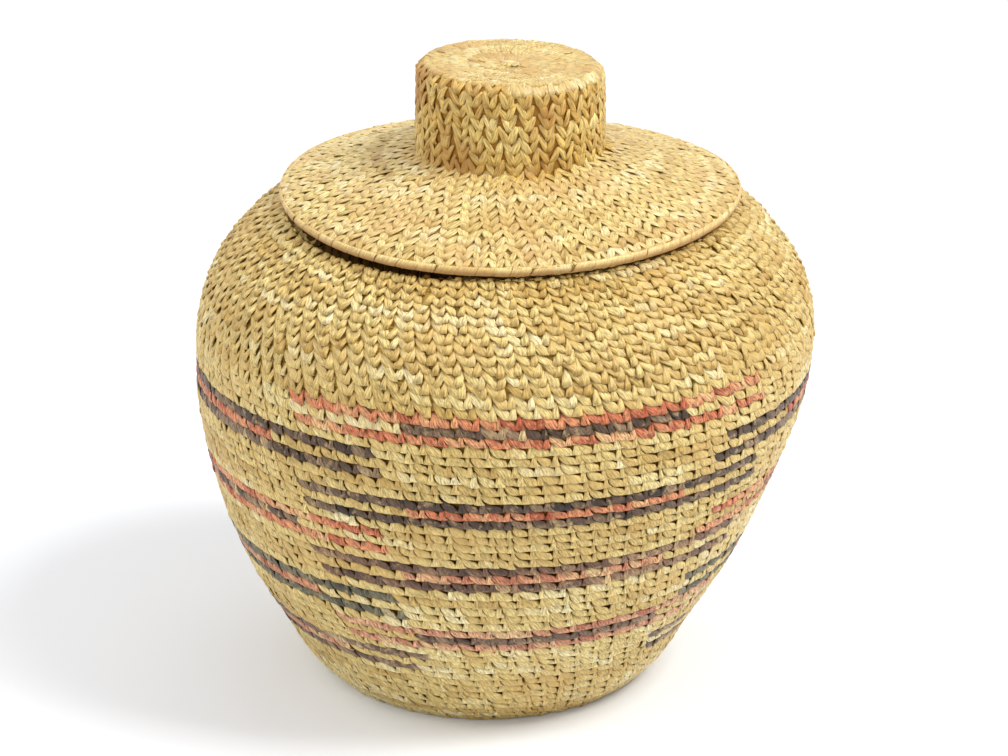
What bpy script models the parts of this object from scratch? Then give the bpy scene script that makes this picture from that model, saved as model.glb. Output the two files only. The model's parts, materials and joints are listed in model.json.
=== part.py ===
# Coiled grass basket with a lifting lid. The vessel and the lid are each sewn as one spiral coil,
# worked outwards from its centre, and stepped blocks of dyed strands run along some of the vessel's rows.
import math

import bmesh
import bpy

MM = 0.001

# Driving sizes of the vessel
BELLY_RADIUS = 109.4 * MM
MOUTH_HEIGHT = 179.2 * MM
BASE_RADIUS = 57.0 * MM
LEAN = 5.0 * MM
VESSEL_THICKNESS = 3.9 * MM
MOUTH_COIL_RADIUS = 1.8 * MM

# Driving sizes of the lid
BRIM_OVERHANG = 12.0 * MM
KNOB_RADIUS = 32.6 * MM
KNOB_HEIGHT = 30.6 * MM
KNOB_EDGE_RADIUS = 2.8 * MM
KNOB_DISH = 0.9 * MM
KNOB_FLARE = 0.6 * MM
LID_THICKNESS = 3.9 * MM
EDGE_COIL_RADIUS = 2.2 * MM
FLANGE_HEIGHT = 11 * MM
FLANGE_THICKNESS = 3.6 * MM
FLANGE_CLEARANCE = 1.6 * MM
BRIM_SLOPE = math.radians(17)

# The coil's surface: a ridge along each row, with a valley where it is sewn to the row before
VALLEY_DEPTH = 1.1 * MM
SEAM_GAP = 0.3 * MM
SEAT_GAP = 0.35 * MM
FLAT_CUT = 0.5 * MM
BASE_DOME = 3.2 * MM
CUTTER_OVERRUN = 20 * MM

# Rows of coil, counted in turns. The vessel's wall starts at turn 0 and its base lies before that.
BASE_ROWS = 15
LOWER_ROWS = 16
BELLY_ROWS = 16
SHOULDER_ROWS = 25
WALL_ROWS = LOWER_ROWS + BELLY_ROWS + SHOULDER_ROWS
KNOB_TOP_ROWS = 9
KNOB_SIDE_ROWS = 8
BRIM_ROWS = 13
FLANGE_ROWS = 3
STANDING_ROWS = 3
CENTRE_SHARE = 0.35

# Rows between the edges on each solid's inner face, which needs fewer faces than the outside
BASE_INNER_ROWS = 5
WALL_INNER_ROWS = 4
SHOULDER_INNER_ROWS = 3
LID_INNER_ROWS = 2

# The wall's outline: turns of coil, share of BELLY_RADIUS, share of MOUTH_HEIGHT
WALL_SHARES = (
    (4, 0.613, 0.057),
    (8, 0.681, 0.129),
    (16, 0.815, 0.271),
    (24, 0.918, 0.431),
    (32, 0.985, 0.579),
    (36.5, 1.0, 0.667),
    (41, 0.995, 0.755),
    (45.5, 0.947, 0.842),
    (50, 0.857, 0.914),
    (53.5, 0.770, 0.961),
)
MOUTH_RADIUS_SHARE = 0.667
# How the hand-made vessel leans to its right: share of MOUTH_HEIGHT, share of LEAN
LEAN_SHARES = (
    (0, -1.22),
    (0.17, -1.22),
    (0.34, -0.98),
    (0.45, -0.74),
    (0.56, -0.36),
    (0.68, 0),
    (0.80, 0.18),
    (0.90, 0.18),
    (1, 0.42),
)

# Dyed blocks: the wall's row at the top of each band on the front, and how far the other sides' blocks stand lower
BAND1_ROW = 40
BAND2_ROW = 31
BAND3_ROW = 23
BAND4_ROW = 15
RIGHT_LOWER_ROWS = 5
BACK_LOWER_ROWS = 1
LEFT_LOWER_ROWS = 4
FRONT_DEGREES = 6
RIGHT_DEGREES = 89
BACK_DEGREES = 188
LEFT_DEGREES = -72
BAND_ROWS = {"band1": BAND1_ROW, "band2": BAND2_ROW, "band3": BAND3_ROW, "band4": BAND4_ROW}
BLOCK_DEGREES = {"front": FRONT_DEGREES, "right": RIGHT_DEGREES, "back": BACK_DEGREES, "left": LEFT_DEGREES}
BLOCK_LOWER_ROWS = {"front": 0, "right": RIGHT_LOWER_ROWS, "back": BACK_LOWER_ROWS, "left": LEFT_LOWER_ROWS}
# The colours of each band: its upper and lower rows, then the shorter row between them
BAND_COLOURS = {
    "band1": ("red", "charcoal"),
    "band2": ("charcoal", "red"),
    "band3": ("plum", "coral"),
    "band4": ("rose", "umber"),
}
SIDE_BAND_COLOURS = {
    "band1": ("charcoal", "red"),
    "band2": ("red", "charcoal"),
    "band3": ("moss", "coral"),
    "band4": ("umber", "rose"),
}
BLOCK_COLOURS = {
    "front": BAND_COLOURS,
    "right": SIDE_BAND_COLOURS,
    "back": BAND_COLOURS,
    "left": SIDE_BAND_COLOURS,
}
OUTER_HALF_DEGREES = 47
MIDDLE_HALF_DEGREES = 26
INNER_SHARE = 1 / 3
BLOCK_DRIFT_DEGREES = 2.0
OUTER_WIDENING_DEGREES = 0.7
MIDDLE_WIDENING_DEGREES = 0.4
WIDEST_COLUMN_DEGREES = 18.5
STRAND_THICKNESS = 0.55 * MM
STRAND_EDGE_SHARE = 0.09
STRAND_CROWN_SHARE = 0.28

LID_COLUMNS = 28
COIL_SIDES = 8

COLOURS = {
    "straw": (0.62, 0.44, 0.16),
    "pale straw": (0.66, 0.50, 0.24),
    "edge": (0.60, 0.38, 0.20),
    "red": (0.52, 0.11, 0.06),
    "coral": (0.62, 0.20, 0.12),
    "rose": (0.55, 0.16, 0.12),
    "charcoal": (0.06, 0.05, 0.05),
    "plum": (0.16, 0.09, 0.08),
    "moss": (0.10, 0.12, 0.08),
    "umber": (0.17, 0.11, 0.08),
}


def clear_scene():
    for obj in list(bpy.data.objects):
        bpy.data.objects.remove(obj, do_unlink=True)


def straw_material(name, colour):
    material = bpy.data.materials.new(name)
    material.use_nodes = True
    shader = material.node_tree.nodes["Principled BSDF"]
    shader.inputs["Base Color"].default_value = (*COLOURS[colour], 1)
    shader.inputs["Roughness"].default_value = 0.55
    shader.inputs["Metallic"].default_value = 0
    return material


def make_object(name, points, faces, colour, parent):
    mesh = bpy.data.meshes.new(name)
    mesh.from_pydata(points, [], faces)
    shape = bmesh.new()
    shape.from_mesh(mesh)
    bmesh.ops.recalc_face_normals(shape, faces=shape.faces)
    shape.to_mesh(mesh)
    shape.free()
    mesh.shade_smooth()
    mesh.set_sharp_from_angle(angle=math.radians(50))
    obj = bpy.data.objects.new(name, mesh)
    bpy.context.scene.collection.objects.link(obj)
    obj.data.materials.append(straw_material(name, colour))
    obj.parent = parent
    obj.matrix_parent_inverse = parent.matrix_world.inverted()
    return obj


def smooth_through(knots, at):
    # Cubic curve through knots such as (turn, radius, height), with each knot's slope from its neighbours
    last = len(knots) - 2
    k = max(0, min(last, sum(1 for knot in knots if knot[0] <= at) - 1))
    before, start, end, after = knots[max(k - 1, 0)], knots[k], knots[k + 1], knots[min(k + 2, last + 1)]
    span = end[0] - start[0]
    share = (at - start[0]) / span
    values = []
    for axis in range(1, len(start)):
        slope_in = (end[axis] - before[axis]) / (end[0] - before[0]) * span
        slope_out = (after[axis] - start[axis]) / (after[0] - start[0]) * span
        values.append(
            (2 * share**3 - 3 * share**2 + 1) * start[axis]
            + (share**3 - 2 * share**2 + share) * slope_in
            + (3 * share**2 - 2 * share**3) * end[axis]
            + (share**3 - share**2) * slope_out
        )
    return values


def vessel_outline(turn):
    # Radius and height of the ridge line: a slightly domed base, then the wall up to the mouth
    pitch = BASE_RADIUS / (BASE_ROWS + CENTRE_SHARE)
    if turn < 0:
        radius = pitch * (turn + BASE_ROWS + CENTRE_SHARE)
        dome_radius = BASE_RADIUS - STANDING_ROWS * pitch
        rise = BASE_DOME * max(0, 1 - (radius / dome_radius) ** 2)
        return radius, rise - FLAT_CUT
    wall = [(turns, radius * BELLY_RADIUS, height * MOUTH_HEIGHT) for turns, radius, height in WALL_SHARES]
    foot = (0, BASE_RADIUS, -FLAT_CUT)
    mouth = (WALL_ROWS, MOUTH_RADIUS_SHARE * BELLY_RADIUS, MOUTH_HEIGHT)
    return smooth_through([foot, *wall, mouth], turn)


def vessel_lean(height):
    share = max(0, min(1, height / MOUTH_HEIGHT))
    return LEAN * smooth_through(LEAN_SHARES, share)[0]


def lid_lean(height):
    return vessel_lean(MOUTH_HEIGHT)


def block_columns():
    # Directions of the vessel's columns as (degrees, drift per band), with one at each end of every dyed run
    columns = {}
    for side, middle in BLOCK_DEGREES.items():
        for label, share, half, widening in (
            ("outer", 1, OUTER_HALF_DEGREES, OUTER_WIDENING_DEGREES),
            ("middle", 1, MIDDLE_HALF_DEGREES, MIDDLE_WIDENING_DEGREES),
            ("inner", INNER_SHARE, MIDDLE_HALF_DEGREES, MIDDLE_WIDENING_DEGREES),
        ):
            for sign in (-1, 1):
                angle = (middle + sign * share * half, BLOCK_DRIFT_DEGREES + sign * share * widening)
                columns[side, label, sign] = angle
    ordered = sorted(((angle + 180) % 360 - 180, drift) for angle, drift in columns.values())
    filled = []
    around = [*ordered[1:], (ordered[0][0] + 360, ordered[0][1])]
    for (angle, drift), (following, next_drift) in zip(ordered, around):
        filled.append((angle, drift))
        if following - angle > WIDEST_COLUMN_DEGREES:
            filled.append(((angle + following) / 2, (drift + next_drift) / 2))
    return columns, sorted(((angle + 180) % 360 - 180, drift) for angle, drift in filled)


class Coil:
    # A spiral coil on a turned outline. Place number k lies k // count turns along it, in column k % count.
    def __init__(self, outline, outward, lean, columns, direction, pitch, thickness):
        self.outline = outline
        self.outward = outward
        self.lean = lean
        self.columns = columns
        self.direction = direction
        self.pitch = pitch
        self.thickness = thickness
        self.count = len(columns)

    def share(self, column):
        return (self.columns[column][0] - self.columns[0][0]) / 360

    def turn(self, place):
        return place // self.count + self.share(place % self.count)

    def on_outline(self, turn, depth):
        # A point at this depth under the ridge line, as (radius, height), square to the rows on either side
        low, high = self.outline(turn - 1), self.outline(turn + 1)
        across, up = high[0] - low[0], high[1] - low[1]
        length = math.hypot(across, up)
        radius, height = self.outline(turn)
        inward = depth * self.outward / length
        return radius - up * inward, height + across * inward

    def point(self, turn, column, depth, ahead=0):
        radius, height = self.on_outline(turn, depth)
        angle, drift = self.columns[column % self.count]
        rows = tuple(BAND_ROWS.values())
        band_span = (rows[0] - rows[-1]) / (len(rows) - 1)
        level = max(0, min(len(rows) - 1, (rows[0] - turn) / band_span))
        around = self.direction * (math.radians(angle + drift * level) + ahead / radius)
        return (self.lean(height) + radius * math.sin(around), -radius * math.cos(around), height)


class Shell:
    # The closed solid of some rows of a coil. It starts and ends with a stepped seam, where the rows of
    # the next solid go on, with a row that tapers out, or at the coil's centre.
    def __init__(self, coil, first, last, start, end, inner_rows, dents=()):
        self.coil = coil
        self.first = first * coil.count
        self.last = last * coil.count
        self.start = start
        self.end = end
        self.dents = dents
        self.points = []
        self.faces = []
        self.index = {}
        self.build_outside()
        self.build_inside([first - (start == "taper"), *inner_rows, last])
        self.build_start()
        self.build_end()

    def vertex(self, kind, place):
        # Vertex of the valley line, the ridge line or the inner face, made the first time it is asked for
        coil, count = self.coil, self.coil.count
        turn, ahead, share = coil.turn(place), 0, 1
        if self.start == "taper" and place < self.first:
            share = coil.share(place % count)
            turn = self.first // count
            place = self.first if share == 0 else place
        if self.end == "taper" and place >= self.last:
            place, turn = (self.last if place % count == 0 else place), self.last // count
        if kind == "ridge":
            if self.end == "taper" and turn + share > self.last // count:
                share = max(0, self.last // count - turn)
            turn += share / 2
            kind = "ridge" if share else "valley"
        half_gap = SEAM_GAP / 2 / coil.pitch
        if self.start == "step" and place < self.first + count:
            if kind != "ridge":
                turn += half_gap
            if place == self.first:
                ahead = SEAM_GAP * (self.first // count + 1 - turn)
        if self.end == "step" and place >= self.last:
            if kind != "ridge":
                turn -= half_gap
            if place % count == 0:
                ahead = -SEAM_GAP * max(0, turn - self.last // count)
        key = kind, place
        if key not in self.index:
            depth = coil.thickness if kind == "inner" else VALLEY_DEPTH
            if kind == "ridge" and place not in self.dents:
                depth = VALLEY_DEPTH * (1 - share)
            self.index[key] = len(self.points)
            self.points.append(coil.point(turn, place, depth, ahead))
        return self.index[key]

    def face(self, corners):
        kept = [corner for k, corner in enumerate(corners) if corner != corners[k - 1]]
        if len(kept) > 2:
            self.faces.append(kept)

    def build_outside(self):
        count = self.coil.count
        low = self.first - (count if self.start == "taper" else 0)
        for place in range(low, self.last):
            near, far = place, place + 1
            ridge = self.vertex("ridge", near), self.vertex("ridge", far)
            valley = self.vertex("valley", near), self.vertex("valley", far)
            above = self.vertex("valley", near + count), self.vertex("valley", far + count)
            self.face([valley[0], valley[1], ridge[1], ridge[0]])
            self.face([ridge[0], ridge[1], above[1], above[0]])

    def inner_chain(self, low, high):
        # The inner vertices on column 0 from one place to another
        seen = []
        for place in range(low, high + 1, self.coil.count):
            if place in self.seam_places or place in (low, high):
                vertex = self.vertex("inner", place)
                if not seen or seen[-1] != vertex:
                    seen.append(vertex)
        return seen

    def build_inside(self, rows):
        count = self.coil.count
        self.seam_places = {row * count for row in rows} | {(row + 1) * count for row in rows}
        for row, following in zip(rows, rows[1:]):
            for column in range(count):
                low, high = row * count + column, following * count + column
                left = [self.vertex("inner", low), self.vertex("inner", high)]
                right = [self.vertex("inner", low + 1), self.vertex("inner", high + 1)]
                if column == 0:
                    left = self.inner_chain(low, high)
                if column == count - 1:
                    right = self.inner_chain(low + 1, high + 1)
                self.face([*left, *reversed(right)])

    def close_ring(self, low):
        for place in range(low, low + self.coil.count):
            outer = self.vertex("valley", place), self.vertex("valley", place + 1)
            inner = self.vertex("inner", place), self.vertex("inner", place + 1)
            self.face([outer[0], outer[1], inner[1], inner[0]])

    def close_step(self, place):
        above = place + self.coil.count
        corners = [self.vertex("valley", place), self.vertex("ridge", place), self.vertex("valley", above)]
        self.face([*corners, self.vertex("inner", above), self.vertex("inner", place)])

    def build_start(self):
        if self.start == "centre":
            self.close_centre()
        elif self.start == "taper":
            self.close_ring(self.first - self.coil.count)
        else:
            self.close_ring(self.first)
            self.close_step(self.first)

    def build_end(self):
        self.close_ring(self.last)
        if self.end == "step":
            self.close_step(self.last)

    def close_centre(self):
        # A small button fills the first turn, on both faces
        count = self.coil.count
        above = self.first + count
        height = self.coil.on_outline(self.first // count, 0)[1]
        inner_height = self.coil.on_outline(self.first // count, self.coil.thickness)[1]
        for kind, level in (("valley", height), ("inner", inner_height)):
            loop = [self.vertex(kind, place) for place in range(self.first, above + 1)]
            if kind == "valley":
                loop.append(self.vertex("ridge", self.first))
            middle = len(self.points)
            self.points.append((self.coil.lean(level), 0, level))
            for k, corner in enumerate(loop):
                self.face([middle, corner, loop[(k + 1) % len(loop)]])


def ring_coil(name, coil, centre, radius, colour, parent):
    # One level turn of coil at (radius, height) centre, with a many-sided section
    points, faces = [], []
    count = coil.count
    for column in range(count):
        around = coil.direction * math.radians(coil.columns[column][0])
        for side in range(COIL_SIDES):
            section = 2 * math.pi * (side + 0.5) / COIL_SIDES
            out, height = centre[0] + radius * math.cos(section), centre[1] + radius * math.sin(section)
            points.append((coil.lean(centre[1]) + out * math.sin(around), -out * math.cos(around), height))
    for column in range(count):
        for side in range(COIL_SIDES):
            following, turned = (column + 1) % count, (side + 1) % COIL_SIDES
            corners = (column, side), (following, side), (following, turned), (column, turned)
            faces.append([place * COIL_SIDES + k for place, k in corners])
    return make_object(name, points, faces, colour, parent)


def strand(name, coil, row, start, end, colour, parent):
    # A dyed strand over one row between two places: a flat band with thinner edges, 0.3 mm clear of the row
    points, faces = [], []
    count = coil.count
    lowest = VALLEY_DEPTH - SEAM_GAP
    section = (
        (STRAND_EDGE_SHARE, lowest),
        (1 - STRAND_EDGE_SHARE, lowest),
        (1 - STRAND_CROWN_SHARE, lowest - STRAND_THICKNESS),
        (STRAND_CROWN_SHARE, lowest - STRAND_THICKNESS),
    )
    places = range(row * count + start, row * count + end + 1)
    for place in places:
        ahead = SEAM_GAP * ((place == places[0]) - (place == places[-1]))
        for across, depth in section:
            points.append(coil.point(coil.turn(place) + across, place, depth, ahead))
    sides = len(section)
    for k in range(len(places) - 1):
        for side in range(sides):
            turned = (side + 1) % sides
            faces.append([k * sides + side, (k + 1) * sides + side, (k + 1) * sides + turned, k * sides + turned])
    faces.append(list(range(sides)))
    faces.append([(len(places) - 1) * sides + side for side in range(sides)])
    return make_object(name, points, faces, colour, parent)


def dyed_runs(columns, named):
    # Each dyed run as (name, row, first place, last place, colour), places counted from its row's start
    runs = []
    angles = [angle for angle, _ in columns]

    def place_of(side, label, sign):
        angle = named[side, label, sign][0]
        wrapped = (angle + 180) % 360 - 180
        column = min(range(len(angles)), key=lambda k: abs(angles[k] - wrapped))
        return column + len(angles) * round((angle - angles[column]) / 360)

    for side, lower in BLOCK_LOWER_ROWS.items():
        for band, row in BAND_ROWS.items():
            outer_colour, middle_colour = BLOCK_COLOURS[side][band]
            rows = (
                ("upper", "outer", outer_colour),
                ("middle", "middle", middle_colour),
                ("lower", "outer", outer_colour),
            )
            for k, (part, label, colour) in enumerate(rows):
                ends = place_of(side, label, -1), place_of(side, label, 1)
                runs.append((f"{band}_{side}_{part}_strand", row - lower - k, *ends, colour))
    return runs


def flat_base_cutter(reach):
    # A block whose top is the surface that the basket stands on
    bpy.ops.mesh.primitive_cube_add(size=1)
    cutter = bpy.context.object
    cutter.name = "floor_cutter"
    cutter.scale = (2 * reach, 2 * reach, CUTTER_OVERRUN)
    cutter.location = (0, 0, -CUTTER_OVERRUN / 2)
    cutter.hide_render = True
    cutter.display_type = "WIRE"
    return cutter


def build_vessel(parent):
    named, columns = block_columns()
    pitch = BASE_RADIUS / (BASE_ROWS + CENTRE_SHARE)
    coil = Coil(vessel_outline, 1, vessel_lean, columns, 1, pitch, VESSEL_THICKNESS)
    runs = dyed_runs(columns, named)
    dents = {row * coil.count + k for _, row, start, end, _ in runs for k in range(start, end + 1)}

    base_rows = range(BASE_INNER_ROWS - BASE_ROWS, 0, BASE_INNER_ROWS)
    base = Shell(coil, -BASE_ROWS, 0, "centre", "step", base_rows)
    base_coil = make_object("base_coil", base.points, base.faces, "straw", parent)
    flat = base_coil.modifiers.new("standing_face", "BOOLEAN")
    flat.operation = "DIFFERENCE"
    flat.solver = "EXACT"
    flat.object = flat_base_cutter(BELLY_RADIUS)

    sections = (("lower_wall_coil", 0, LOWER_ROWS), ("belly_coil", LOWER_ROWS, LOWER_ROWS + BELLY_ROWS))
    for name, low, high in sections:
        wall_rows = range(low + WALL_INNER_ROWS, high, WALL_INNER_ROWS)
        wall = Shell(coil, low, high, "step", "step", wall_rows, dents)
        make_object(name, wall.points, wall.faces, "straw", parent)
    low = LOWER_ROWS + BELLY_ROWS
    shoulder_rows = range(low + SHOULDER_INNER_ROWS, WALL_ROWS - 1, SHOULDER_INNER_ROWS)
    shoulder = Shell(coil, low, WALL_ROWS, "step", "taper", shoulder_rows, dents)
    make_object("shoulder_coil", shoulder.points, shoulder.faces, "straw", parent)
    ring_coil("mouth_coil", coil, mouth_centre(coil), MOUTH_COIL_RADIUS, "pale straw", parent)
    for name, row, start, end, colour in runs:
        strand(name, coil, row, start, end, colour, parent)
    return coil


def mouth_centre(coil):
    # The mouth's last turn lies against the end of the wall, in line with it
    outer = coil.on_outline(WALL_ROWS, VALLEY_DEPTH)
    inner = coil.on_outline(WALL_ROWS, coil.thickness)
    before, end = coil.outline(WALL_ROWS - 1), coil.outline(WALL_ROWS)
    length = math.hypot(end[0] - before[0], end[1] - before[1])
    along = MOUTH_COIL_RADIUS + SEAM_GAP
    return [(outer[k] + inner[k]) / 2 + (end[k] - before[k]) / length * along for k in (0, 1)]


def underside(mouth, radius):
    # Height of the brim's underside, which rests on the mouth coil
    over_centre = (MOUTH_COIL_RADIUS + SEAT_GAP) / math.cos(BRIM_SLOPE)
    return mouth[1] + over_centre + (mouth[0] - radius) * math.tan(BRIM_SLOPE)


def build_lid(parent, mouth):
    columns = [(360 * k / LID_COLUMNS, 0) for k in range(LID_COLUMNS)]
    brim_start = KNOB_RADIUS + KNOB_FLARE
    rim_radius = mouth[0] + BRIM_OVERHANG
    brim_end = rim_radius - EDGE_COIL_RADIUS * (1 + math.cos(BRIM_SLOPE))
    thickness_up = LID_THICKNESS / math.cos(BRIM_SLOPE)
    foot = underside(mouth, brim_start) + thickness_up
    top = foot + KNOB_HEIGHT
    knob_rows = KNOB_TOP_ROWS + KNOB_SIDE_ROWS
    rows = knob_rows + BRIM_ROWS
    pitch = (KNOB_RADIUS - KNOB_EDGE_RADIUS) / (KNOB_TOP_ROWS + CENTRE_SHARE)
    knots = (
        (0, CENTRE_SHARE * pitch, top - KNOB_DISH),
        (KNOB_TOP_ROWS, KNOB_RADIUS - KNOB_EDGE_RADIUS, top),
        (KNOB_TOP_ROWS + 1, KNOB_RADIUS, top - KNOB_EDGE_RADIUS),
        (knob_rows, brim_start, foot),
        (rows, brim_end, underside(mouth, brim_end) + thickness_up),
    )

    def outline(turn):
        k = max(0, min(len(knots) - 2, sum(1 for knot in knots if knot[0] <= turn) - 1))
        start, end = knots[k], knots[k + 1]
        share = (turn - start[0]) / (end[0] - start[0])
        return [start[axis] + share * (end[axis] - start[axis]) for axis in (1, 2)]

    coil = Coil(outline, -1, lid_lean, columns, -1, pitch, LID_THICKNESS)
    for name, low, high, start, end in (
        ("knob_top_coil", 0, KNOB_TOP_ROWS, "centre", "step"),
        ("knob_side_coil", KNOB_TOP_ROWS, knob_rows, "step", "step"),
        ("brim_coil", knob_rows, rows, "step", "taper"),
    ):
        inner_rows = [low + LID_INNER_ROWS, high - LID_INNER_ROWS]
        part = Shell(coil, low, high, start, end, inner_rows)
        make_object(name, part.points, part.faces, "pale straw", parent)
    outer, inner = coil.on_outline(rows, VALLEY_DEPTH), coil.on_outline(rows, LID_THICKNESS)
    along = EDGE_COIL_RADIUS + SEAM_GAP
    edge = (
        (outer[0] + inner[0]) / 2 + along * math.cos(BRIM_SLOPE),
        (outer[1] + inner[1]) / 2 - along * math.sin(BRIM_SLOPE),
    )
    ring_coil("edge_coil", coil, edge, EDGE_COIL_RADIUS, "edge", parent)
    build_flange(parent, mouth, columns)


def build_flange(parent, mouth, columns):
    # The ring under the lid that keeps it on the mouth
    radius = mouth[0] - MOUTH_COIL_RADIUS - FLANGE_CLEARANCE
    top = underside(mouth, radius) - SEAT_GAP

    def outline(turn):
        return radius, top - FLANGE_HEIGHT * turn / FLANGE_ROWS

    coil = Coil(outline, -1, lid_lean, columns, -1, FLANGE_HEIGHT / FLANGE_ROWS, FLANGE_THICKNESS)
    flange = Shell(coil, 0, FLANGE_ROWS, "taper", "taper", [1])
    make_object("flange_coil", flange.points, flange.faces, "pale straw", parent)


def empty(name, location):
    obj = bpy.data.objects.new(name, None)
    obj.location = location
    bpy.context.scene.collection.objects.link(obj)
    bpy.context.view_layer.update()
    return obj


clear_scene()
vessel = empty("vessel", (0, 0, 0))
vessel_coil = build_vessel(vessel)
mouth = mouth_centre(vessel_coil)
lid = empty("lid", (lid_lean(0), 0, mouth[1]))
build_lid(lid, mouth)
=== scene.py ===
import json
import math

import bpy
import numpy as np
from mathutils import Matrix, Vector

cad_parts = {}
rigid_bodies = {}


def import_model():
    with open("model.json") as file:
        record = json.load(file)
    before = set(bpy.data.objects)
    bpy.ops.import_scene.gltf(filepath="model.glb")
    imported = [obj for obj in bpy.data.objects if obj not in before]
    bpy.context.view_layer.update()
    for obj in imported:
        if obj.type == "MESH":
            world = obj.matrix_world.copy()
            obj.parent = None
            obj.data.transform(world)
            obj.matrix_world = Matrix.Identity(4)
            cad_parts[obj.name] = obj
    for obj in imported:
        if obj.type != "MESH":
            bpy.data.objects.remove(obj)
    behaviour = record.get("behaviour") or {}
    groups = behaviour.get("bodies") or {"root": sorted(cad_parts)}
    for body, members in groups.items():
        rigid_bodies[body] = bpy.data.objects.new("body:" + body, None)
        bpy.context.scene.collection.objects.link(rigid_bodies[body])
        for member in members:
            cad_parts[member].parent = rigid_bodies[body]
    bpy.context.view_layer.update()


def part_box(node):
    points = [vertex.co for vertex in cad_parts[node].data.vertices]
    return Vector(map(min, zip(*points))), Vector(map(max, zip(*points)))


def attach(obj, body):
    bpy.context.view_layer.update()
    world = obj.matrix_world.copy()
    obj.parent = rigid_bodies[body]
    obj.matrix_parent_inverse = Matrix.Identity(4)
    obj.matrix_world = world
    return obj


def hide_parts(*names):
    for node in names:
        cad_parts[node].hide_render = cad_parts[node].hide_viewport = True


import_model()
mm = 0.001
chance = np.random.default_rng(7)

# The vessel's coil, in the sizes that the model was built with
vesselSize = {
    "bellyRadius": 109.4 * mm,
    "mouthHeight": 179.2 * mm,
    "mouthShare": 0.667,
    "baseRadius": 57 * mm,
    "baseRows": 15,
    "centreShare": 0.35,
    "wallRows": 57,
    "standingRows": 3,
    "flatCut": 0.5 * mm,
    "baseDome": 3.2 * mm,
    "seam": -163.3,
    "wall": (
        (4, 0.613, 0.057),
        (8, 0.681, 0.129),
        (16, 0.815, 0.271),
        (24, 0.918, 0.431),
        (32, 0.985, 0.579),
        (36.5, 1.0, 0.667),
        (41, 0.995, 0.755),
        (45.5, 0.947, 0.842),
        (50, 0.857, 0.914),
        (53.5, 0.770, 0.961),
    ),
    "lean": 5 * mm,
    "leanAt": (
        (0, -1.22),
        (0.17, -1.22),
        (0.34, -0.98),
        (0.45, -0.74),
        (0.56, -0.36),
        (0.68, 0),
        (0.80, 0.18),
        (0.90, 0.18),
        (1, 0.42),
    ),
    "thickness": 3.9 * mm,
    "mouthCoil": 1.8 * mm,
}
lidSize = {
    "overhang": 12 * mm,
    "knobRadius": 32.6 * mm,
    "knobHeight": 30.6 * mm,
    "knobEdge": 2.8 * mm,
    "knobDish": 0.9 * mm,
    "knobFlare": 0.6 * mm,
    "thickness": 3.9 * mm,
    "edgeCoil": 2.2 * mm,
    "slope": math.radians(17),
    "topRows": 9,
    "sideRows": 8,
    "brimRows": 13,
    "seat": 0.35 * mm,
    "overEdge": 0.9 * mm,
    "fold": (2.6 * mm, 1.4 * mm),
    "flangeHeight": 11 * mm,
    "flangeRows": 3,
    "flangeThickness": 3.6 * mm,
    "flangeClearance": 1.6 * mm,
}


def smoothThrough(knots, at):
    # Cubic curve through the knots, with each knot's slope taken from its neighbours
    last = len(knots) - 2
    k = max(0, min(last, sum(1 for knot in knots if knot[0] <= at) - 1))
    before, start, end, after = knots[max(k - 1, 0)], knots[k], knots[k + 1], knots[min(k + 2, last + 1)]
    span = end[0] - start[0]
    s = (at - start[0]) / span
    values = []
    for axis in range(1, len(start)):
        slopeIn = (end[axis] - before[axis]) / (end[0] - before[0]) * span
        slopeOut = (after[axis] - start[axis]) / (after[0] - start[0]) * span
        value = (2 * s**3 - 3 * s**2 + 1) * start[axis] + (s**3 - 2 * s**2 + s) * slopeIn
        values.append(value + (3 * s**2 - 2 * s**3) * end[axis] + (s**3 - s**2) * slopeOut)
    return values


def vesselOutline(turn):
    size = vesselSize
    if turn < 0:
        pitch = size["baseRadius"] / (size["baseRows"] + size["centreShare"])
        radius = pitch * (turn + size["baseRows"] + size["centreShare"])
        dome = size["baseRadius"] - size["standingRows"] * pitch
        return radius, size["baseDome"] * max(0, 1 - (radius / dome) ** 2) - size["flatCut"]
    knots = [(0, size["baseRadius"], -size["flatCut"])]
    knots += [(t, r * size["bellyRadius"], h * size["mouthHeight"]) for t, r, h in size["wall"]]
    knots.append((size["wallRows"], size["mouthShare"] * size["bellyRadius"], size["mouthHeight"]))
    return smoothThrough(knots, turn)


leanShares = np.linspace(0, 1, 61)
leanValues = np.array([smoothThrough(vesselSize["leanAt"], share)[0] for share in leanShares])


def vesselLean(height):
    return vesselSize["lean"] * np.interp(height / vesselSize["mouthHeight"], leanShares, leanValues)


def lidLean(height):
    return vesselLean(vesselSize["mouthHeight"]) + 0 * height


# How the hand-made lid and mouth depart from level: a low wave round the brim, and a knob that tips a little
unevenness = {
    "wave": (0.05 * mm, 0.78 * mm, 0.95 * mm, -0.69 * mm),
    "from": 33.4 * mm,
    "to": 80 * mm,
    "shoulder": (46, 57),
    "knobTip": (-0.029, -0.022),
    "groove": (1.5 * mm, 4.8 * mm),
    "grooveTurns": (55.2, 55.5, 56.4, 57),
    "grooveAt": -46,
    "grooveEarlier": 0.5,
}


def grooveSide(degrees):
    # 1 on the side where the lid stands highest off the shoulder, 0 across from it
    return (0.5 + 0.5 * np.cos(np.radians(degrees - unevenness["grooveAt"]))) ** 12


def brimWave(x, y):
    c, s = x - lidLean(0), y
    radius = np.maximum(np.hypot(c, s), 1 * mm)
    c, s = c / radius, s / radius
    wave = unevenness["wave"]
    share = np.clip((radius - unevenness["from"]) / (unevenness["to"] - unevenness["from"]), 0, 1.1)
    return share * (wave[0] * c + wave[1] * s + wave[2] * (c * c - s * s) + wave[3] * 2 * c * s)


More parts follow.
